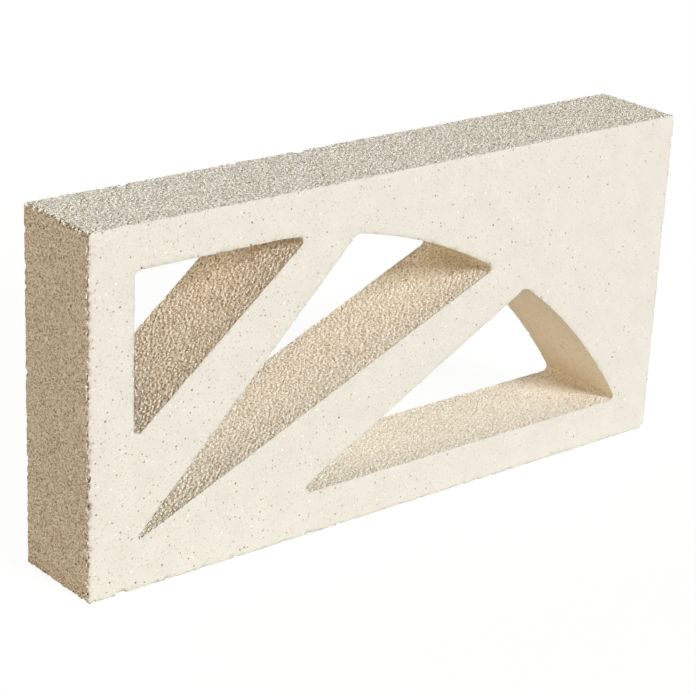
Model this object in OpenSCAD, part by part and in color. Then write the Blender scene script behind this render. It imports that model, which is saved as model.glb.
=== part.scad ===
// Decorative concrete screen block with a sunray of three openings.
// One casting: a rectangular slab with a solid border, three openings that run straight
// through it, and two tapering bars between them that spread from the lower left corner.
//
// X runs along the block, Y through its thickness and Z up. The origin is the middle of the
// lower bed face, and the show face looks towards -Y. Every size is in millimetres.

/* [Block] */
// Length of the block along the course
block_length = 390; // [320:1:500]
// Height of the block, bed face to bed face
block_height = 190; // [155:1:260]
// Thickness of the block, from the show face to the back
block_thickness = 55; // [40:1:120]
// Width of the small chamfer along the slab's outer arrises
arris_chamfer = 1; // [0.5:0.1:3]

/* [Border] */
// Solid border at the left end
left_border = 26; // [18:1:35]
// Solid border at the right end, where the arc comes down
right_border = 26; // [18:1:35]
// Solid border above the openings
top_border = 23; // [18:1:35]
// Solid border under the openings
bottom_border = 24; // [18:1:35]

/* [Fan] */
// Distance from the left end to the crown, where the arc leaves the top border
crown_from_left = 103; // [85:1:130]
// Distance from the left end to the root, where the middle ray springs from the bottom border
root_from_left = 24; // [20:1:40]
// Slope of the middle ray's upper edge, in degrees
ray_upper_slope = 45; // [40:0.5:50]
// Slope of the middle ray's lower edge, in degrees
ray_lower_slope = 23; // [18:0.5:28]

/* [Bars] */
// Width of the upper bar, measured at the root
upper_bar_width = 42; // [34:0.5:52]
// Angle by which the upper bar narrows on its way out, in degrees
upper_bar_taper = 5.8; // [3:0.1:8]
// Width of the lower bar, measured at the root
lower_bar_width = 47.5; // [38:0.5:58]
// Angle by which the lower bar narrows on its way out, in degrees
lower_bar_taper = 5.1; // [3:0.1:8]

/* [Roundings] */
// Radius at the root of the middle ray
root_radius = 1.5; // [1:0.5:4]
// Radius in the openings' other corners
corner_radius = 3; // [2:0.5:6]
// Radius at the top of the lower opening, where its long edge meets the arc
shoulder_radius = 6; // [3:0.5:10]

/* [Hidden] */

concrete = "#e6e0d0";

// Everything on the show face is laid out from the slab's lower left corner.
root = [root_from_left, bottom_border];
crown = [crown_from_left, block_height - top_border];
arc_foot = [block_length - right_border, bottom_border];

// The arc is level at the crown and passes through its foot, which fixes its radius.
arc_run = arc_foot.x - crown.x;
arc_drop = crown.y - arc_foot.y;
arc_radius = (arc_run * arc_run + arc_drop * arc_drop) / (2 * arc_drop);
arc_centre = [crown.x, crown.y - arc_radius];

// Longest turn between two points of a rounding, in degrees
rounding_step = 10;
// Longest turn between two points of the long arc, in degrees
arc_step = 0.5;
// How far a cutting shape runs past the surface that it crosses
overrun = 25;

// A straight edge is [a point on it, its heading in degrees]. The opening is on its left.
function along(heading) = [cos(heading), sin(heading)];
function across(heading) = [-sin(heading), cos(heading)];
function inset(edge, d) = [edge[0] + d * across(edge[1]), edge[1]];
function crossing(a, b) =
    a[0] + along(a[1]) * cross(b[0] - a[0], along(b[1])) / cross(along(a[1]), along(b[1]));

// Where an edge moved in by r crosses the arc moved in by r: ahead of its point, or behind it
function arc_crossing(edge, r, ahead) =
    let (
        start = inset(edge, r)[0] - arc_centre,
        run = start * along(edge[1]),
        half_chord = sqrt(pow(arc_radius - r, 2) - start * start + run * run)
    )
    arc_centre + start + ((ahead ? half_chord : -half_chord) - run) * along(edge[1]);

// Direction of a point as seen from the centre of the long arc
function direction(p) = atan2(p.y - arc_centre.y, p.x - arc_centre.x);

// Points of an arc that turns left from one direction to another
function turn(centre, r, from, to, step) =
    let (sweep = (to - from + 720) % 360, parts = ceil(sweep / step))
    [for (i = [0 : parts]) centre + r * along(from + sweep * i / parts)];

// Roundings where an edge meets another edge, runs into the long arc, or comes from it
function edge_to_edge(first, next, r) =
    let (c = crossing(inset(first, r), inset(next, r)))
    turn(c, r, first[1] - 90, next[1] - 90, rounding_step);
function edge_to_arc(edge, r) =
    let (c = arc_crossing(edge, r, true))
    turn(c, r, edge[1] - 90, direction(c), rounding_step);
function arc_to_edge(edge, r) =
    let (c = arc_crossing(edge, r, false))
    turn(c, r, direction(c), edge[1] - 90, rounding_step);

// A point of the long arc moved out past it
function past_arc(p) = p + overrun * along(direction(p));

// The edges, each with its heading as an opening is followed anticlockwise
left_edge = [[left_border, bottom_border], -90];
top_edge = [crown, 180];
bottom_edge = [root, 0];
ray_upper_edge = [root, ray_upper_slope + 180];
ray_lower_edge = [root, ray_lower_slope];
upper_bar_slope = ray_upper_slope - upper_bar_taper;
lower_bar_slope = ray_lower_slope + lower_bar_taper;
upper_bar_edge = [root + upper_bar_width * across(upper_bar_slope), upper_bar_slope];
lower_bar_edge = [root - lower_bar_width * across(lower_bar_slope), lower_bar_slope + 180];

// Triangle between the left border, the top border and the upper bar. Right of the crown its
// top follows the arc. A low block's triangle ends before the crown, and its top is straight.
module upper_opening() {
    tip = edge_to_arc(upper_bar_edge, corner_radius);
    tip_end = tip[len(tip) - 1];
    tip_and_top = tip_end.x > crown.x
        ? concat(tip, turn(arc_centre, arc_radius, direction(tip_end), 90, arc_step))
        : edge_to_edge(upper_bar_edge, top_edge, corner_radius);
    polygon(concat(
        edge_to_edge(left_edge, upper_bar_edge, corner_radius),
        tip_and_top,
        edge_to_edge(top_edge, left_edge, corner_radius)
    ));
}

// An opening that ends on the long arc: the outline from its inner corner to the arc and
// back, closed beyond the arc and then trimmed by it
module arc_ended(inner_corner, lower_corner, upper_corner) {
    intersection() {
        polygon(concat(
            inner_corner,
            lower_corner,
            [past_arc(lower_corner[len(lower_corner) - 1]), past_arc(upper_corner[0])],
            upper_corner
        ));
        translate(arc_centre) circle(r = arc_radius, $fn = ceil(360 / arc_step));
    }
}

// Long wedge that springs from the root and ends on the arc
module middle_ray() {
    arc_ended(
        edge_to_edge(ray_upper_edge, ray_lower_edge, root_radius),
        edge_to_arc(ray_lower_edge, corner_radius),
        arc_to_edge(ray_upper_edge, corner_radius)
    );
}

// Low wedge between the lower bar, the bottom border and the arc
module lower_opening() {
    arc_ended(
        edge_to_edge(lower_bar_edge, bottom_edge, corner_radius),
        edge_to_arc(bottom_edge, corner_radius),
        arc_to_edge(lower_bar_edge, shoulder_radius)
    );
}

// Rectangle centred on the origin with its four corners cut at 45 degrees
module chamfered(w, h, c) {
    polygon([
        [c - w / 2, -h / 2], [w / 2 - c, -h / 2], [w / 2, c - h / 2], [w / 2, h / 2 - c],
        [w / 2 - c, h / 2], [c - w / 2, h / 2], [-w / 2, h / 2 - c], [-w / 2, c - h / 2]
    ]);
}

// Slab with a chamfer on all twelve arrises: three chamfered bars crossed with each other
module slab() {
    translate([0, 0, block_height / 2]) intersection() {
        linear_extrude(block_height, center = true)
            chamfered(block_length, block_thickness, arris_chamfer);
        rotate([90, 0, 0]) linear_extrude(block_thickness, center = true)
            chamfered(block_length, block_height, arris_chamfer);
        rotate([90, 0, 90]) linear_extrude(block_length, center = true)
            chamfered(block_thickness, block_height, arris_chamfer);
    }
}

// The three openings, run out past both faces of the slab
module openings() {
    translate([-block_length / 2, 0, 0]) rotate([90, 0, 0])
        linear_extrude(block_thickness + 2 * overrun, center = true) {
            upper_opening();
            middle_ray();
            lower_opening();
        }
}

module screen_block() {
    color(concrete) difference() {
        slab();
        openings();
    }
}

screen_block();
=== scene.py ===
import math

import bmesh
import bpy
import numpy as np
from mathutils import Matrix, Vector, noise
from mathutils.geometry import delaunay_2d_cdt


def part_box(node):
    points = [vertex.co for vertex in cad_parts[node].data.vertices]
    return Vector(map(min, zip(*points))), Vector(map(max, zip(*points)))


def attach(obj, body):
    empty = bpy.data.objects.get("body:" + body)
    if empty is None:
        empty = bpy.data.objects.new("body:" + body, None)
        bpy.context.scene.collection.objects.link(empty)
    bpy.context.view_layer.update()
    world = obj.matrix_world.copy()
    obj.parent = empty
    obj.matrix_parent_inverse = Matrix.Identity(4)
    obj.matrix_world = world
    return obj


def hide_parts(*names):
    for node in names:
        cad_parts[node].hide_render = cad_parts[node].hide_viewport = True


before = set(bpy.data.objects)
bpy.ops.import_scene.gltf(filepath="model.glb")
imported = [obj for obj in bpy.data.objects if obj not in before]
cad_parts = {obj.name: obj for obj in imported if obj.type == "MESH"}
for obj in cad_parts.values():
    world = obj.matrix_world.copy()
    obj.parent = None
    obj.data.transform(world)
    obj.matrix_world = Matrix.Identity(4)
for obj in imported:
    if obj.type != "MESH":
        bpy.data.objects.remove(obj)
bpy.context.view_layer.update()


# ---------------------------------------------------------------------------------------
# The casting
# One block of dry, cream coloured concrete, made of white cement and pale river sand. It
# was pressed lying flat in a steel mould and pushed out fresh: the two large faces are
# smooth, and every surface that slid along the mould or along one of its cores is coarse.
# ---------------------------------------------------------------------------------------
MM = 0.001
SLAB_ARRIS = 0.5 * MM           # typical radius of the arrises round the slab's two faces
MOUTH_ARRIS = 0.35 * MM         # typical radius of the arrises round the openings
UPRIGHT_ARRIS = 0.7 * MM        # radius of the four arrises that run through the thickness
SLAB_GRIT = 0.92                # how coarse the slab's outside is beside the coarsest skin
MOUTH_GRITS = (1.0, 0.8, 0.6)   # the same for the three openings, from left to right
MOUTH_WARM_SHADE = (0.9, 0.45, 0.0)   # how much painted warm shade tints their sand, from left to right
MOUTH_PROUD = 0.45 * MM         # height of the openings' skin before the grit is pressed in
SMOOTH_ARC = 0.5                # share of the grit that is missing along the openings' arc
BROKEN_GRIT_AND_SHADE = 0.9               # how much coarser it is where concrete has broken away; as the painted gap shade grows with the grit, the broken places are also painted darker
BROKEN_DEPTH = 0.8 * MM         # depth from which it is that coarse

block_low, block_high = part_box("screen_block")
LEFT, FRONT, BED = block_low
RIGHT, BACK, TOP = block_high
half_thickness = (BACK - FRONT) / 2
random = np.random.default_rng(11)


def face_outlines(cad_node, plane_y):
    """The closed outlines, as X and Z, of the node's flat face at this Y, the largest first.
    Each starts at its point that lies farthest to the lower left."""
    same_point = 0.001 * MM
    in_plane = 0.01 * MM
    mesh = bmesh.new()
    mesh.from_mesh(cad_node.data)
    bmesh.ops.remove_doubles(mesh, verts=mesh.verts, dist=same_point)
    flat = [f for f in mesh.faces if all(abs(v.co.y - plane_y) < in_plane for v in f.verts)]
    follows = {}
    for face in flat:
        for loop in face.loops:
            if not all(f in flat for f in loop.edge.link_faces):
                follows[loop.vert] = loop.link_loop_next.vert
    outlines = []
    while follows:
        vert = next(iter(follows.values()))
        points = []
        while vert in follows:
            points.append((vert.co.x, vert.co.z))
            vert = follows.pop(vert)
        points = np.array(points)
        outlines.append(np.roll(points, -points.sum(1).argmin(), 0))
    mesh.free()
    return sorted(outlines, key=lambda points: -np.ptp(points[:, 0]))


def rounded_rectangle(low, high, radius):
    """Outline of a rectangle with round corners, with the inside on its left."""
    quarter_turn = np.arange(0, 91, 15)
    right, left = high[0] - radius, low[0] + radius
    top, bottom = high[1] - radius, low[1] + radius
    corners = ((right, bottom, -90), (right, top, 0), (left, top, 90), (left, bottom, 180))
    points = []
    for centre_x, centre_z, start in corners:
        for turn in np.radians(start + quarter_turn):
            points.append((centre_x + radius * math.cos(turn), centre_z + radius * math.sin(turn)))
    return np.array(points)


def outline_length(points):
    """Length of a closed outline."""
    return np.hypot(*(np.roll(points, -1, 0) - points).T).sum()


def along_outline(points, distance):
    """Points at these distances along a closed outline, and the way into the solid there."""
    closed = np.vstack([points, points[:1]])
    sides = np.diff(closed, axis=0)
    lengths = np.hypot(sides[:, 0], sides[:, 1])
    reached = np.concatenate([[0], np.cumsum(lengths)])
    side_normals = np.stack([-sides[:, 1], sides[:, 0]], 1) / lengths[:, None]
    corner_normals = side_normals + np.roll(side_normals, 1, 0)
    corner_normals /= np.hypot(*corner_normals.T)[:, None]
    corner_normals = np.vstack([corner_normals, corner_normals[:1]])
    distance = distance % reached[-1]
    at = np.stack([np.interp(distance, reached, closed[:, k]) for k in (0, 1)], 1)
    inwards = np.stack([np.interp(distance, reached, corner_normals[:, k]) for k in (0, 1)], 1)
    return at, inwards / np.hypot(*inwards.T)[:, None]


WORN_PATCH = 6 * MM             # length of a stretch of arris that is worn more or less
WORN_SPOT = 2.3 * MM            # length of the smaller spots within it
SPOT_SHARE = 0.7                # how much the spots count beside the stretches
WEAR_LIMIT = 0.6                # most that the two together count, either way
WEAR_SPREAD = 0.8               # share of the typical radius that they then stand for


def arris_radius(at, y, typical):
    """How far the arris is worn at each of these points: more in one place than in another."""
    worn = []
    for x, z in at:
        spot = Vector((x, y, z))
        uneven = noise.noise(spot / WORN_PATCH) + SPOT_SHARE * noise.noise(spot / WORN_SPOT)
        worn.append(typical * (1 + WEAR_SPREAD * min(max(uneven, -WEAR_LIMIT), WEAR_LIMIT)))
    return np.array(worn)


# How the points of the coarse skin lie. They are farther apart than the grains of sand, which
# keeps the mesh light: the relief in it is a little coarse, and the material adds the finer.
GRIT_STEP = 1.32 * MM           # distance from one point to the next
SHUFFLE = 0.3                   # share of a step by which points leave their regular places
RIM_GRIT = (0.1, 0.5)           # share of the grit in an arris's outermost row and in the next
FACING_DOWN = 3                 # a wall that leans by a third of its height or more faces down


def sweep_outline(points, typical_arris, coarseness, smooth_below=0.0, proud=0.0):
    """Rows of points along an outline, from the show face to the back, and how coarse the skin
    is at each. The outer two rows on either side round the arris: one lies on the large face,
    and one on the middle of the rounding. Every other row is half a step on, and all are
    shuffled along the outline, so no lines of points show in the grit.
    Where the wall faces down, smooth_below is the share of the grit that is missing."""
    length = outline_length(points)
    count = round(length / GRIT_STEP)
    step = length / count
    wall_rows = round((2 * half_thickness - 2 * typical_arris) / GRIT_STEP) + 1
    mid_arris = 1 - math.sqrt(0.5)
    rows, grit = [], []
    for number in range(wall_rows + 4):
        distance = (np.arange(count) + 0.5 * (number % 2)) * step
        distance += random.uniform(-SHUFFLE, SHUFFLE, count) * step
        at, inwards = along_outline(points, distance)
        front = arris_radius(at, -half_thickness, typical_arris)
        back = arris_radius(at, half_thickness, typical_arris)
        wall = (number - 2) / (wall_rows - 1)
        if number == 0:
            y = np.full(count, -half_thickness)
            into_solid = front
        elif number == 1:
            y = -half_thickness + front * mid_arris
            into_solid = front * mid_arris
        elif number == wall_rows + 2:
            y = half_thickness - back * mid_arris
            into_solid = back * mid_arris
        elif number == wall_rows + 3:
            y = np.full(count, half_thickness)
            into_solid = back
        else:
            y = (front - half_thickness) * (1 - wall) + (half_thickness - back) * wall
            into_solid = np.zeros(count)
            if 0 < wall < 1:
                y = y + random.uniform(-SHUFFLE, SHUFFLE, count) * GRIT_STEP
        flat = at + inwards * (into_solid - proud)[:, None]
        rows.append(np.column_stack([flat[:, 0], y, flat[:, 1]]))
        faces_down = np.clip(FACING_DOWN * inwards[:, 1], 0, 1)
        from_rim = min(number, wall_rows + 3 - number)
        rim_share = RIM_GRIT[from_rim] if from_rim < len(RIM_GRIT) else 1.0
        grit.append(coarseness * rim_share * (1 - smooth_below * faces_down))
    return rows, grit


# Where a corner or an arris was knocked in handling: its place, the knock's size and its depth.
KNOCKS = (
    ((LEFT, FRONT, TOP), 5.0 * MM, 1.3 * MM),
    ((-30 * MM, BACK, TOP), 5.0 * MM, 1.7 * MM),
    ((-176 * MM, FRONT, BED), 7.0 * MM, 1.3 * MM),
    ((LEFT, FRONT, 112 * MM), 5.0 * MM, 1.0 * MM),
    ((RIGHT, FRONT, BED), 5.0 * MM, 1.8 * MM),
    ((120 * MM, BACK, TOP), 4.0 * MM, 1.2 * MM),
    ((RIGHT, BACK, 75 * MM), 7.0 * MM, 1.5 * MM),
    ((-110 * MM, BACK, BED), 8.0 * MM, 1.6 * MM),
)
# The small nicks along the arrises: distance from one to the next, smallest and largest size.
FACE_NICKS = (9 * MM, 1.4 * MM, 2.8 * MM)
MOUTH_NICKS = (15 * MM, 0.8 * MM, 1.6 * MM)
# Straight arrises that are ragged all along: their ends, distance between notches, and size.
RAGGED_ARRISES = (
    ((LEFT, FRONT, TOP), (LEFT, BACK, TOP), 3.8 * MM, 2.1 * MM),
    ((LEFT, FRONT, BED), (LEFT, FRONT, TOP), 4.6 * MM, 1.7 * MM),
    ((LEFT, FRONT, BED), (LEFT, BACK, BED), 9 * MM, 1.5 * MM),
    ((RIGHT, FRONT, TOP), (RIGHT, BACK, TOP), 9 * MM, 1.5 * MM),
    ((RIGHT, FRONT, BED), (RIGHT, BACK, BED), 7 * MM, 1.5 * MM),
)
NOTCH_PLACES = (0.2, 0.8)       # where in its share of the arris a notch may lie
NOTCH_SIZES = (0.8, 1.2)        # its smallest and largest size, times the size in the list
NOTCH_OUT = (0.0, 0.4)          # how far out of the block its ball lies, times its size
NICK_OUT = (0.6, 0.85)          # the same for a nick
BREAK_UNEVEN = 0.15             # height of the bumps where concrete broke, times the ball's size
BREAK_PATCH = 1.5 * MM          # distance from one bump to the next


def way_out(place):
    """The way out of the block at a place on one of its arrises or corners."""
    on_face = 0.1 * MM
    offset = place - (block_low + block_high) / 2
    reach = (block_high - block_low) / 2
    way = [math.copysign(1, o) if abs(o) > r - on_face else 0 for o, r in zip(offset, reach)]
    return Vector(way).normalized()


def place_knocks():
    """Every knock of the list, as the centre of a ball that takes the concrete away, and its
    size."""
    knocks = []
    for place, size, depth in KNOCKS:
        place = Vector(place)
        knocks.append((place + way_out(place) * (size - depth), size))
    return knocks


def notch_arrises():
    """Balls in a row along each ragged arris, with teeth of concrete left between them."""
    notches = []
    for start, end, spacing, typical in RAGGED_ARRISES:
        start, end = Vector(start), Vector(end)
        outwards = way_out((start + end) / 2)
        count = round((end - start).length / spacing)
        for i in range(count):
            place = start.lerp(end, (i + random.uniform(*NOTCH_PLACES)) / count)
            size = typical * random.uniform(*NOTCH_SIZES)
            notches.append((place + outwards * size * random.uniform(*NOTCH_OUT), size))
    return notches


def strew_nicks(outline, spacing, smallest, largest):
    """Small balls along an outline's front and back arris, each a little way out of the solid."""
    nicks = []
    for y in (-half_thickness, half_thickness):
        count = round(outline_length(outline) / spacing)
        at, inwards = along_outline(outline, random.uniform(0, outline_length(outline), count))
        for (x, z), (in_x, in_z) in zip(at, inwards):
            outwards = Vector((-in_x, math.copysign(1, y), -in_z)).normalized()
            size = random.uniform(smallest, largest)
            nicks.append((Vector((x, y, z)) + outwards * size * random.uniform(*NICK_OUT), size))
    return nicks


def break_arrises(points, knocks):
    """Move every point that lies within a knock back to its surface, but never out of the block.
    Returns the points as they are then, and how far each has moved."""
    broken = points.copy()
    farthest = 1 + 2 * BREAK_UNEVEN
    for centre, size in knocks:
        close = np.nonzero(np.abs(broken - np.array(centre)).max(1) < farthest * size)[0]
        for i in close:
            away = Vector(broken[i]) - centre
            surface = size * (1 + BREAK_UNEVEN * noise.noise(Vector(broken[i]) / BREAK_PATCH))
            if away.length < surface:
                broken[i] = centre + away.normalized() * surface
    broken = np.clip(broken, block_low, block_high)
    return broken, np.linalg.norm(broken - points, axis=1)


GRAIN_TOPS = (0.7, 1.0)         # how high the points on grains stand, from lowest to highest
GAP_FLOORS = (0.0, 0.3)         # the same for those in the gaps


def sow_grains(faces, skin_verts):
    """How high each point stands in the coarse skin, from 0 in a gap to 1 on top of a grain.
    A gap is a point with grains of sand all round it."""
    neighbours = [set() for _ in range(faces.max() + 1)]
    for a, b, c in faces.tolist():
        neighbours[a] |= {b, c}
        neighbours[b] |= {a, c}
        neighbours[c] |= {a, b}
    gap = np.zeros(len(neighbours), bool)
    for i in random.permutation(skin_verts):
        gap[i] = not any(gap[j] for j in neighbours[i])
    high = random.uniform(*GRAIN_TOPS, len(gap))
    low = random.uniform(*GAP_FLOORS, len(gap))
    return np.where(gap, low, high)


def inside(points, outline):
    """Which of the points lie inside a closed outline."""
    x, z = points[:, 0:1], points[:, 1:2]
    ax, az = outline[:, 0], outline[:, 1]
    bx, bz = np.roll(ax, -1), np.roll(az, -1)
    crosses = (az > z) != (bz > z)
    with np.errstate(divide="ignore", invalid="ignore"):
        at = ax + (z - az) * (bx - ax) / (bz - az)
    return (crosses & (x < at)).sum(1) % 2 == 1


def within_face(points, outlines):
    """Which of the points lie on the face: inside its first outline and in none of the openings."""
    on_face = inside(points, outlines[0])
    for opening in outlines[1:]:
        on_face &= ~inside(points, opening)
    return on_face


# How close together the points of a face are: their spacing, from and to how far from an arris.
FACE_BANDS = (
    (2.2 * MM, 1.5 * MM, 5 * MM),
    (5 * MM, 5 * MM, 14 * MM),
    (12 * MM, 14 * MM, math.inf),
)
FACE_SHUFFLE = 0.2              # share of the spacing by which they leave their regular places


def fill_points(outlines):
    """Points spread over the face inside the outlines, closer together near an arris."""
    edge = np.vstack(outlines)
    parts_of_edge = np.array_split(edge, len(edge) // 200 + 1)
    low, high = edge.min(0), edge.max(0)
    chosen = []
    for spacing, nearest, farthest in FACE_BANDS:
        columns = np.arange(low[0], high[0], spacing)
        lines = np.arange(low[1], high[1], spacing * math.sin(math.radians(60)))
        grid_x, grid_z = np.meshgrid(columns, lines)
        grid_x[::2] += spacing / 2
        grid = np.column_stack([grid_x.ravel(), grid_z.ravel()])
        grid += random.uniform(-FACE_SHUFFLE, FACE_SHUFFLE, grid.shape) * spacing
        from_edge = np.full(len(grid), math.inf)
        for part in parts_of_edge:
            offset = grid[:, None, :] - part[None, :, :]
            from_edge = np.minimum(from_edge, np.hypot(offset[..., 0], offset[..., 1]).min(1))
        in_band = (from_edge >= nearest) & (from_edge < farthest)
        chosen.append(grid[in_band & within_face(grid, outlines)])
    return np.vstack(chosen)


def skin_triangles(first, row_count, count):
    """Triangles between the rows of a swept skin whose points are numbered from first, and
    which of them are coarse: all but those of the rims, which belong to the large faces."""
    faces = []
    for row in range(row_count - 1):
        a = first + row * count
        b = a + count
        for i in range(count):
            j = (i + 1) % count
            if row % 2 == 0:
                faces += [(a + i, b + i, a + j), (a + j, b + i, b + j)]
            else:
                faces += [(a + i, b + j, a + j), (a + i, b + i, b + j)]
    row_of_face = np.arange(len(faces)) // (2 * count)
    return faces, (row_of_face > 0) & (row_of_face < row_count - 2)


def fill_face(verts, rings, faces_front):
    """Fill one large face between its rings of points. Returns the new points and triangles."""
    triangles_inside = 1
    same_point = 0.0001 * MM
    outlines = [np.array([(verts[i][0], verts[i][2]) for i in ring]) for ring in rings]
    extra = fill_points(outlines)
    places = [i for ring in rings for i in ring]
    places += list(range(len(verts), len(verts) + len(extra)))
    edges = []
    start = 0
    for ring in rings:
        edges += [(start + i, start + (i + 1) % len(ring)) for i in range(len(ring))]
        start += len(ring)
    flat = [Vector(point) for point in np.vstack(outlines + [extra])]
    found = delaunay_2d_cdt(flat, edges, [], triangles_inside, same_point)
    corners, _, triangles, origin, _, _ = found
    middles = np.array([corners[i] for t in triangles for i in t]).reshape(-1, 3, 2).mean(1)
    faces = []
    for triangle, kept in zip(triangles, within_face(middles, outlines)):
        if kept:
            order = triangle if faces_front else triangle[::-1]
            faces.append(tuple(places[origin[i][0]] for i in order))
    y = np.full(len(extra), verts[rings[0][0]][1])
    return np.column_stack([extra[:, 0], y, extra[:, 1]]).tolist(), faces


def sweep_skins(slab, openings):
    """The skin of the slab and those of the openings: rows of points, how coarse the points are, and the
    share of painted warm shade that tints the sand there."""
    skins = [(*sweep_outline(slab, SLAB_ARRIS, SLAB_GRIT), 0.0)]
    for points, coarseness, warm_shade_share in zip(openings, MOUTH_GRITS, MOUTH_WARM_SHADE):
        rows, row_grit = sweep_outline(points, MOUTH_ARRIS, coarseness, SMOOTH_ARC, MOUTH_PROUD)
        skins.append((rows, row_grit, warm_shade_share))
    return skins


def gather_knocks(slab, openings):
    """Every ball that takes concrete away: knocks, notches in ragged arrises, and nicks."""
    knocks = place_knocks() + notch_arrises() + strew_nicks(slab, *FACE_NICKS)
    for points in openings:
        knocks += strew_nicks(points, *MOUTH_NICKS)
    return knocks


def make_block(points, faces, coarse, point_marks):
    """The block as an object. Its faces carry coarse, and its points carry the marks, which are grit (how
    coarse they are), grain (how high they stand in it) and the share of painted warm shade that tints the
    sand there."""
    mesh = bpy.data.meshes.new("concrete_block")
    mesh.from_pydata(points.tolist(), [], faces.tolist())
    mesh.attributes.new("coarse", "BOOLEAN", "FACE").data.foreach_set("value", coarse)
    for name, values in point_marks.items():
        mesh.attributes.new(name, "FLOAT", "POINT").data.foreach_set("value", values)
    mesh.polygons.foreach_set("use_smooth", ~coarse)
    block = bpy.data.objects.new("concrete_block", mesh)
    bpy.context.scene.collection.objects.link(block)
    return block


def cast_block():
    """The whole block as one closed mesh: a swept skin on each outline, and two filled faces."""
    openings = face_outlines(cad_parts["screen_block"], FRONT)[1:]
    openings.sort(key=lambda points: points[:, 0].mean())
    slab = rounded_rectangle((LEFT, BED), (RIGHT, TOP), UPRIGHT_ARRIS)
    verts, faces, coarse, grit, warm_shade = [], [], [], [], []
    front_rings, back_rings = [], []
    for rows, row_grit, warm_shade_share in sweep_skins(slab, openings):
        first = len(verts)
        count = len(rows[0])
        last = first + (len(rows) - 1) * count
        front_rings.append(list(range(first, first + count)))
        back_rings.append(list(range(last, last + count)))
        new_faces, new_coarse = skin_triangles(first, len(rows), count)
        faces += new_faces
        coarse += new_coarse.tolist()
        verts += np.vstack(rows).tolist()
        grit += np.concatenate(row_grit).tolist()
        warm_shade += [warm_shade_share] * (len(rows) * count)
    skin_verts = len(verts)
    for rings, faces_front in ((front_rings, True), (back_rings, False)):
        more_verts, more_faces = fill_face(verts, rings, faces_front)
        verts += more_verts
        faces += more_faces
    broken, moved = break_arrises(np.array(verts), gather_knocks(slab, openings))
    faces = np.array(faces)
    coarse = np.pad(coarse, (0, len(faces) - len(coarse)))
    grit = np.pad(grit, (0, len(verts) - skin_verts))
    # Broken places get coarser relief and, through the grit, darker painted shade in their gaps.
    grit += BROKEN_GRIT_AND_SHADE * np.clip(moved / BROKEN_DEPTH, 0, 1)
    warm_shade = np.pad(warm_shade, (0, len(verts) - skin_verts))
    grain = sow_grains(faces, skin_verts)
    return make_block(broken, faces, coarse, {"grit": grit, "warm_shade": warm_shade, "grain": grain})


def add_node(tree, kind, inputs=None, **settings):
    """Add a node. Settings are its own properties. Inputs are values, sockets to link, or
    nodes, of which the first output is linked. Where a node's inputs share a name they go by
    number: the terms of a sum from 0 on, and for a mix 0 is the share and 6 and 7 are colours."""
    made = tree.nodes.new(kind)
    for name, value in settings.items():
        setattr(made, name, value)
    for name, value in (inputs or {}).items():
        if isinstance(value, bpy.types.Node):
            value = value.outputs[0]
        if isinstance(value, bpy.types.NodeSocket):
            tree.links.new(value, made.inputs[name])
        else:
            made.inputs[name].default_value = value
    return made


def linear(hex_colour):
    """An sRGB hex colour as the linear colour that a node takes."""
    values = [int(hex_colour[i:i + 2], 16) / 255 for i in (1, 3, 5)]
    return [v / 12.92 if v <= 0.04045 else ((v + 0.055) / 1.055) ** 2.4 for v in values] + [1.0]


# The sand that shows in the pressed faces: spacing, radius, share of the places and colour.
SPECKS = (
    (2.0 * MM, 0.46 * MM, 0.45, "#C3B79F"),
    (3.1 * MM, 0.50 * MM, 0.28, "#F1EFE7"),
    (3.7 * MM, 0.46 * MM, 0.40, "#9E937E"),
    (8.5 * MM, 0.46 * MM, 0.35, "#746754"),
)
SPECK_SIZES = (0.6, 1.4)        # the smallest and the largest speck, times that radius
SPECK_RIM = (0.7, 1.3)          # where a speck starts to fade and where it ends, in radii
CROWDED = (1.9, 0.4)            # what the shares are multiplied by, at the left and right end
CLOUD = 14 * MM                 # length of a slightly paler or darker patch of the paste
CLOUD_SPAN = (0.35, 0.65)       # the noise's values at its darkest and at its palest
PASTE_COLOURS = ("#D1D2CC", "#D5D6D0")
PASTE_GRAIN = 1.2 * MM          # size of the fine shading in the paste
PASTE_SPAN = (0.3, 0.7)         # the noise's values at its darkest and at its palest
PASTE_SHADES = (0.95, 1.03)     # what the colour is multiplied by there
PRESSED_RELIEF = 0.1 * MM       # depth of a speck in the pressed face


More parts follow.
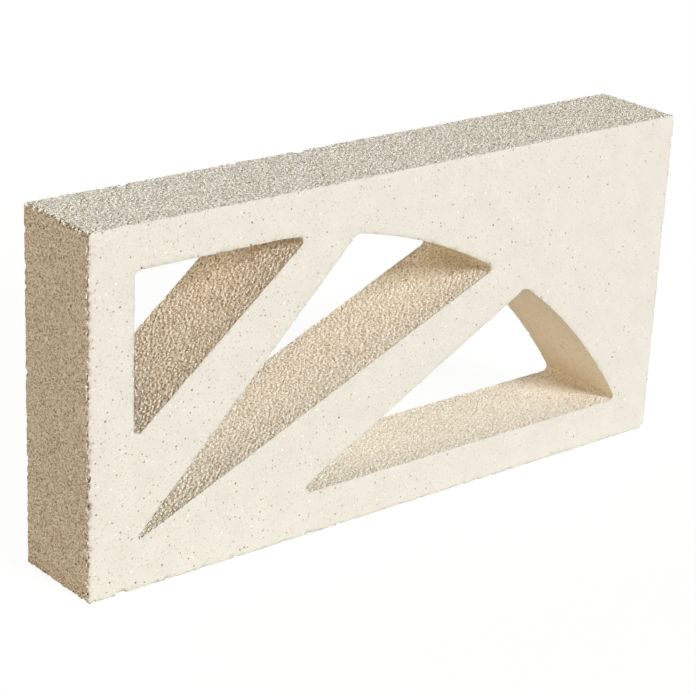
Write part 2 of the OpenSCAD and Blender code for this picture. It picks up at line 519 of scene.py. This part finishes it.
def pressed_face_material():
    """Pressed concrete face: white cement paste, dense and matt, with grains of sand showing
    through it. It looks cream and nearly plain, with faint tan, grey and white specks. The
    specks are crowded to the left, where the mix went in, and thin out to the right."""
    material = bpy.data.materials.new("white_concrete_pressed_face")
    material.use_nodes = True
    tree = material.node_tree
    tree.nodes.clear()
    place = add_node(tree, "ShaderNodeTexCoord").outputs["Object"]
    along = add_node(tree, "ShaderNodeSeparateXYZ", {"Vector": place}).outputs["X"]
    crowd = add_node(tree, "ShaderNodeMapRange",
                     {"Value": along, "From Min": LEFT, "From Max": RIGHT,
                      "To Min": CROWDED[0], "To Max": CROWDED[1]})
    cloud = add_node(tree, "ShaderNodeTexNoise", {"Vector": place, "Scale": 1 / CLOUD, "Detail": 2})
    mottled = add_node(tree, "ShaderNodeValToRGB", {"Fac": cloud})
    for stop, position, colour in zip(mottled.color_ramp.elements, CLOUD_SPAN, PASTE_COLOURS):
        stop.position = position
        stop.color = linear(colour)
    fine = add_node(tree, "ShaderNodeTexNoise", {"Vector": place, "Scale": 1 / PASTE_GRAIN, "Detail": 2})
    shade = add_node(tree, "ShaderNodeMapRange",
                     {"Value": fine, "From Min": PASTE_SPAN[0], "From Max": PASTE_SPAN[1],
                      "To Min": PASTE_SHADES[0], "To Max": PASTE_SHADES[1]})
    paste = add_node(tree, "ShaderNodeMix", {0: 1.0, 6: mottled, 7: shade},
                     data_type="RGBA", blend_type="MULTIPLY")
    colour = paste.outputs[2]
    height = fine.outputs[0]
    for spacing, radius, share, tone in SPECKS:
        sand = add_node(tree, "ShaderNodeTexVoronoi", {"Vector": place, "Scale": 1 / spacing})
        drawn = add_node(tree, "ShaderNodeSeparateColor", {"Color": sand.outputs["Color"]}).outputs
        size = add_node(tree, "ShaderNodeMapRange",
                        {"Value": drawn["Green"], "To Min": SPECK_SIZES[0], "To Max": SPECK_SIZES[1]})
        reach = add_node(tree, "ShaderNodeMath", {0: sand.outputs["Distance"], 1: size},
                         operation="DIVIDE")
        near = add_node(tree, "ShaderNodeMapRange",
                        {"Value": reach, "From Min": SPECK_RIM[0] * radius / spacing,
                         "From Max": SPECK_RIM[1] * radius / spacing, "To Min": 1.0, "To Max": 0.0})
        odds = add_node(tree, "ShaderNodeMath", {0: crowd, 1: share}, operation="MULTIPLY")
        chosen = add_node(tree, "ShaderNodeMath", {0: drawn["Red"], 1: odds}, operation="LESS_THAN")
        mark = add_node(tree, "ShaderNodeMath", {0: near, 1: chosen}, operation="MULTIPLY")
        marked = add_node(tree, "ShaderNodeMix", {0: mark, 6: colour, 7: linear(tone)}, data_type="RGBA")
        colour = marked.outputs[2]
        height = add_node(tree, "ShaderNodeMath", {0: height, 1: mark}, operation="SUBTRACT")
    bump = add_node(tree, "ShaderNodeBump",
                    {"Height": height, "Strength": 0.6, "Distance": PRESSED_RELIEF})
    surface = add_node(tree, "ShaderNodeBsdfPrincipled",
                       {"Base Color": colour, "Normal": bump, "Roughness": 0.85,
                        "Specular IOR Level": 0.25})
    add_node(tree, "ShaderNodeOutputMaterial", {"Surface": surface})
    return material


# The sand grains of the coarse skin, from the few darkest to the palest: where each colour
# starts in the draw, and the colour.
GRAIN_COLOURS = (
    (0.0, "#C4B598"),
    (0.12, "#F2F2E9"),
    (0.5, "#F7F9F2"),
    (0.85, "#F5F6ED"),
    (1.0, "#F9F7F0"),
)
WARM_SHADE_TINT = "#FFF6ED"           # painted warm shade: what the grains' colour is multiplied by in the openings
SKIN_PASTE = "#E9DCC6"          # paste that covers the grains where the skin is smoother
NO_PASTE_FROM = 0.8             # how coarse the skin is where none of it is left
SAND_SIZE = 0.85 * MM           # distance from one grain to the next
GAP_SHADE_COLOUR = "#AE9E82"          # painted shade in the gaps between grains and at the bottoms of the pits
GAP_SHADE_SPAN = (0.5, 0.75)          # where the painted shade of a gap starts and is full, in grain distances from a middle
GAP_SHADE_SHARE = 0.6              # share of the painted shade colour in a full gap
DUST_SIZE = 0.6 * MM            # size of the roughness on the grains
DUST_SHARE = 0.5                # how high it is beside a gap's depth
COARSE_RELIEF = 0.75 * MM       # a gap's depth at one grain distance from a middle


def coarse_skin_material():
    """Coarse concrete skin: grains of pale sand just under 1 mm across. It looks like sandpaper in cream.
    The darker tan in the gaps and pits is painted shade, and the warmer tint of the sand in the openings,
    strongest in the left one, is painted warm shade."""
    material = bpy.data.materials.new("white_concrete_coarse_skin")
    material.use_nodes = True
    tree = material.node_tree
    tree.nodes.clear()
    place = add_node(tree, "ShaderNodeTexCoord").outputs["Object"]
    grit = add_node(tree, "ShaderNodeAttribute", attribute_name="grit").outputs["Fac"]
    warm_shade = add_node(tree, "ShaderNodeAttribute", attribute_name="warm_shade").outputs["Fac"]
    pit_shade = add_node(tree, "ShaderNodeAttribute", attribute_name="pit_shade").outputs["Fac"]
    sand = add_node(tree, "ShaderNodeTexVoronoi", {"Vector": place, "Scale": 1 / SAND_SIZE}).outputs
    drawn = add_node(tree, "ShaderNodeSeparateColor", {"Color": sand["Color"]})
    grain = add_node(tree, "ShaderNodeValToRGB", {"Fac": drawn})
    stops = grain.color_ramp.elements
    for position, colour in GRAIN_COLOURS[1:-1]:
        stops.new(position).color = linear(colour)
    stops[0].color = linear(GRAIN_COLOURS[0][1])
    stops[-1].color = linear(GRAIN_COLOURS[-1][1])
    # Painted warm shade: the sand of the openings is tinted warmer, most in the left one and not at all in
    # the right one.
    tan = add_node(tree, "ShaderNodeMix", {0: warm_shade, 6: grain, 7: linear(WARM_SHADE_TINT)},
                   data_type="RGBA", blend_type="MULTIPLY")
    covered = add_node(tree, "ShaderNodeMath", {0: grit, 1: -1 / NO_PASTE_FROM, 2: 1.0},
                       operation="MULTIPLY_ADD", use_clamp=True)
    skin = add_node(tree, "ShaderNodeMix", {0: covered, 6: tan.outputs[2], 7: linear(SKIN_PASTE)},
                    data_type="RGBA")
    # Painted shade: the gaps between grains, and the pits, are coloured darker where the relief would
    # shade them, more so where the skin is coarser.
    gap = add_node(tree, "ShaderNodeMapRange",
                   {"Value": sand["Distance"], "From Min": GAP_SHADE_SPAN[0], "From Max": GAP_SHADE_SPAN[1],
                    "To Min": 0.0, "To Max": GAP_SHADE_SHARE})
    dark = add_node(tree, "ShaderNodeMath", {0: gap, 1: grit, 2: pit_shade}, operation="MULTIPLY_ADD")
    colour = add_node(tree, "ShaderNodeMix", {0: dark, 6: skin.outputs[2], 7: linear(GAP_SHADE_COLOUR)},
                      data_type="RGBA")
    dust = add_node(tree, "ShaderNodeTexNoise", {"Vector": place, "Scale": 1 / DUST_SIZE, "Detail": 1})
    roughness = add_node(tree, "ShaderNodeMath", {0: dust, 1: DUST_SHARE}, operation="MULTIPLY")
    round_off = add_node(tree, "ShaderNodeMath", {0: sand["Distance"], 1: 2.0}, operation="POWER")
    relief = add_node(tree, "ShaderNodeMath", {0: roughness, 1: round_off}, operation="SUBTRACT")
    height = add_node(tree, "ShaderNodeMath", {0: relief, 1: grit}, operation="MULTIPLY")
    bump = add_node(tree, "ShaderNodeBump", {"Height": height, "Strength": 1.0, "Distance": COARSE_RELIEF})
    surface = add_node(tree, "ShaderNodeBsdfPrincipled",
                       {"Base Color": colour.outputs[2], "Normal": bump, "Roughness": 0.95,
                        "Specular IOR Level": 0.2})
    add_node(tree, "ShaderNodeOutputMaterial", {"Surface": surface})
    return material


def sand_skin_tree(face_material, skin_material, size_names):
    """Geometry Nodes that press the grit into the coarse skin, always inwards, and give each
    surface its finish. The depth is that of the gaps between the grains, of slow waves and of
    pits where a grain came out, and all of it is scaled by how coarse the skin is there."""
    tree = bpy.data.node_groups.new("sand_skin", "GeometryNodeTree")
    tree.interface.new_socket("Geometry", in_out="INPUT", socket_type="NodeSocketGeometry")
    tree.interface.new_socket("Geometry", in_out="OUTPUT", socket_type="NodeSocketGeometry")
    for name in size_names:
        tree.interface.new_socket(name, in_out="INPUT", socket_type="NodeSocketFloat")
    given = add_node(tree, "NodeGroupInput").outputs
    place = add_node(tree, "GeometryNodeInputPosition")
    normal = add_node(tree, "GeometryNodeInputNormal")
    grit = add_node(tree, "GeometryNodeInputNamedAttribute", {"Name": "grit"}, data_type="FLOAT")
    grain = add_node(tree, "GeometryNodeInputNamedAttribute", {"Name": "grain"}, data_type="FLOAT")
    coarse = add_node(tree, "GeometryNodeInputNamedAttribute", {"Name": "coarse"}, data_type="BOOLEAN")

    below_grain = add_node(tree, "ShaderNodeMath", {0: 1.0, 1: grain}, operation="SUBTRACT")
    gap_depth = add_node(tree, "ShaderNodeMath", {0: below_grain, 1: given["Grain height"]},
                         operation="MULTIPLY")

    wave_scale = add_node(tree, "ShaderNodeMath", {0: 1.0, 1: given["Wave length"]}, operation="DIVIDE")
    wave = add_node(tree, "ShaderNodeTexNoise",
                    {"Vector": place, "W": given["Seed"], "Scale": wave_scale, "Detail": 2.0},
                    noise_dimensions="4D")
    wavy_depth = add_node(tree, "ShaderNodeMath", {0: wave, 1: given["Wave height"], 2: gap_depth},
                          operation="MULTIPLY_ADD")

    pit_scale = add_node(tree, "ShaderNodeMath", {0: 1.0, 1: given["Pit spacing"]}, operation="DIVIDE")
    pit = add_node(tree, "ShaderNodeTexVoronoi",
                   {"Vector": place, "W": given["Seed"], "Scale": pit_scale}, voronoi_dimensions="4D")
    pit_size = add_node(tree, "ShaderNodeMath", {0: given["Pit width"], 1: given["Pit spacing"]},
                        operation="DIVIDE")
    from_pit = add_node(tree, "ShaderNodeMath", {0: pit.outputs["Distance"], 1: pit_size},
                        operation="DIVIDE")
    into_pit = add_node(tree, "ShaderNodeMath", {0: 1.0, 1: from_pit}, operation="SUBTRACT")
    in_pit = add_node(tree, "ShaderNodeMath", {0: into_pit, 1: 0.0}, operation="MAXIMUM")
    pitted_depth = add_node(tree, "ShaderNodeMath", {0: in_pit, 1: given["Pit depth"], 2: wavy_depth},
                            operation="MULTIPLY_ADD")

    depth = add_node(tree, "ShaderNodeMath", {0: pitted_depth, 1: grit}, operation="MULTIPLY")
    down = add_node(tree, "ShaderNodeMath", {0: depth, 1: -1.0}, operation="MULTIPLY")
    offset = add_node(tree, "ShaderNodeVectorMath", {0: normal, "Scale": down}, operation="SCALE")
    pressed = add_node(tree, "GeometryNodeSetPosition", {"Geometry": given["Geometry"], "Offset": offset})
    # Where the pits are is kept, so that the coarse skin's material paints them darker: painted shade.
    marked = add_node(tree, "GeometryNodeStoreNamedAttribute",
                      {"Geometry": pressed, "Name": "pit_shade", "Value": in_pit}, data_type="FLOAT")
    realized = add_node(tree, "GeometryNodeRealizeInstances", {"Geometry": marked})
    faced = add_node(tree, "GeometryNodeSetMaterial", {"Geometry": realized, "Material": face_material})
    skinned = add_node(tree, "GeometryNodeSetMaterial",
                       {"Geometry": faced, "Selection": coarse, "Material": skin_material})
    add_node(tree, "NodeGroupOutput", {"Geometry": skinned})
    return tree


# What sliding along the mould leaves in the coarse skin. The grain height is how deep the gaps
# between grains are, and the seed fixes where waves and pits lie.
SKIN_SIZES = {
    "Seed": 3.0,
    "Grain height": 1.4 * MM,
    "Wave length": 7 * MM,
    "Wave height": 0.3 * MM,
    "Pit spacing": 7 * MM,
    "Pit width": 1.6 * MM,
    "Pit depth": 0.9 * MM,
}


def press_in_sand(block):
    """Run the Geometry Nodes on the block and keep the result as its plain mesh."""
    modifier = block.modifiers.new("sand_skin", "NODES")
    tree = sand_skin_tree(pressed_face_material(), coarse_skin_material(), SKIN_SIZES)
    modifier.node_group = tree
    for socket in tree.interface.items_tree:
        if socket.in_out == "INPUT" and socket.name in SKIN_SIZES:
            modifier[socket.identifier] = SKIN_SIZES[socket.name]
    graph = bpy.context.evaluated_depsgraph_get()
    finished = bpy.data.meshes.new_from_object(block.evaluated_get(graph))
    block.modifiers.remove(modifier)
    block.data = finished


block = cast_block()
press_in_sand(block)
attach(block, "root")
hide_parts("screen_block")


# ---------------------------------------------------------------------------------------
# The floor
# A plain pale floor of matt paint that the block stands on. To the light it is an ordinary
# pale surface, and the camera sees it as white with the block's soft shadow on it.
# ---------------------------------------------------------------------------------------
FLOOR_REACH = 6.0               # metres from the middle to each side
PAINT_COLOUR = "#EEE7DA"        # the paint to the light
SEEN_SHADE = "#555555"          # how much of the light and the shadow on it the camera sees
SEEN_WHITE = 0.935              # the white that the camera sees besides


def build_floor():
    """One large square, level with the lower bed of the block."""
    signs = ((-1, -1), (1, -1), (1, 1), (-1, 1))
    corners = [(x * FLOOR_REACH, y * FLOOR_REACH, BED) for x, y in signs]
    mesh = bpy.data.meshes.new("floor")
    mesh.from_pydata(corners, [], [(0, 1, 2, 3)])
    floor = bpy.data.objects.new("floor", mesh)
    bpy.context.scene.collection.objects.link(floor)
    return floor


def matt_paint_material():
    """Matt white floor paint, rolled on: even and without gloss. For the camera most of its
    white is given out by it, so that only the shadow is left of its shading."""
    material = bpy.data.materials.new("matt_white_floor_paint")
    material.use_nodes = True
    tree = material.node_tree
    tree.nodes.clear()
    ray = add_node(tree, "ShaderNodeLightPath").outputs["Is Camera Ray"]
    paint = add_node(tree, "ShaderNodeBsdfDiffuse", {"Color": linear(PAINT_COLOUR)})
    seen_shade = add_node(tree, "ShaderNodeBsdfDiffuse", {"Color": linear(SEEN_SHADE)})
    seen_white = add_node(tree, "ShaderNodeEmission", {"Color": linear("#FFFFFF"), "Strength": SEEN_WHITE})
    seen = add_node(tree, "ShaderNodeAddShader", {0: seen_shade, 1: seen_white})
    mixed = add_node(tree, "ShaderNodeMixShader", {0: ray, 1: paint, 2: seen})
    add_node(tree, "ShaderNodeOutputMaterial", {"Surface": mixed})
    return material


floor = build_floor()
floor.data.materials.append(matt_paint_material())


# ---------------------------------------------------------------------------------------
# The light
# A key lamp with a softbox stands high in front, a large soft one low behind, and two warm
# ones at the left fill what faces that way. Each is far off, and so lights evenly.
# ---------------------------------------------------------------------------------------
# Each lamp: name, the way to it, strength, how wide it looks in degrees, and colour.
LAMPS = (
    ("key_lamp", (0.15, -0.87, 0.47), 3.2, 24, "#FFFFFF"),
    ("back_lamp", (0.0, 1.0, 0.25), 2.0, 80, "#FFFFFF"),
    ("warm_back_lamp", (-0.65, 0.75, 0.08), 1.3, 80, "#FFD29B"),
    ("warm_front_lamp", (-0.7, -0.7, 0.15), 0.65, 35, "#FFD29B"),
)


def hang_lamps():
    """The lamps of the list, each turned so that it shines from its way to the block."""
    for name, way, strength, width, colour in LAMPS:
        light = bpy.data.lights.new(name, "SUN")
        light.energy = strength
        light.angle = math.radians(width)
        light.color = linear(colour)[:3]
        lamp = bpy.data.objects.new(name, light)
        lamp.rotation_euler = Vector(way).to_track_quat("Z", "Y").to_euler()
        bpy.context.scene.collection.objects.link(lamp)


def studio_world():
    """White all round for what is seen or reflected, and no light of its own on the block."""
    world = bpy.data.worlds.new("studio")
    world.use_nodes = True
    tree = world.node_tree
    tree.nodes.clear()
    ray = add_node(tree, "ShaderNodeLightPath").outputs
    direct = add_node(tree, "ShaderNodeMath", {0: ray["Is Camera Ray"], 1: ray["Is Glossy Ray"]},
                      operation="MAXIMUM")
    seen = add_node(tree, "ShaderNodeMath", {0: direct, 1: ray["Is Transmission Ray"]},
                    operation="MAXIMUM")
    dark = add_node(tree, "ShaderNodeBackground", {"Color": linear("#FFFFFF"), "Strength": 0.0})
    white = add_node(tree, "ShaderNodeBackground", {"Color": linear("#FFFFFF"), "Strength": 1.0})
    mixed = add_node(tree, "ShaderNodeMixShader", {0: seen, 1: dark, 2: white})
    add_node(tree, "ShaderNodeOutputWorld", {"Surface": mixed})
    return world


hang_lamps()
bpy.context.scene.world = studio_world()


# ---------------------------------------------------------------------------------------
# The camera
# It stands in front of the block, to the left and a little above it, with a long lens. The
# shift moves the block to its place in the frame without turning the camera away from it.
# ---------------------------------------------------------------------------------------
CAMERA_AZIMUTH = -40.109        # degrees from straight in front, towards the left
CAMERA_ELEVATION = 22.173       # degrees above the aim
CAMERA_ROLL = 2.523             # degrees
CAMERA_DISTANCE = 1.1808        # metres from the aim
CAMERA_AIM = (-0.02121, 0.00352, 0.06809)
CAMERA_LENS = 115.15            # millimetres
CAMERA_SHIFT = (0.0250, 0.0464)  # in widths of the frame


def place_camera():
    """The camera, looking at its aim from the direction that the angles give."""
    azimuth = math.radians(CAMERA_AZIMUTH)
    elevation = math.radians(CAMERA_ELEVATION)
    level = math.cos(elevation)
    back = Vector((math.sin(azimuth) * level, -math.cos(azimuth) * level, math.sin(elevation)))
    turn = back.to_track_quat("Z", "Y").to_matrix().to_4x4()
    roll = Matrix.Rotation(math.radians(CAMERA_ROLL), 4, "Z")
    lens = bpy.data.cameras.new("camera")
    lens.lens = CAMERA_LENS
    lens.shift_x, lens.shift_y = CAMERA_SHIFT
    camera = bpy.data.objects.new("camera", lens)
    camera.matrix_world = Matrix.Translation(Vector(CAMERA_AIM) + back * CAMERA_DISTANCE) @ turn @ roll
    bpy.context.scene.collection.objects.link(camera)
    return camera


bpy.context.scene.camera = place_camera()
bpy.context.scene.view_settings.view_transform = "Standard"
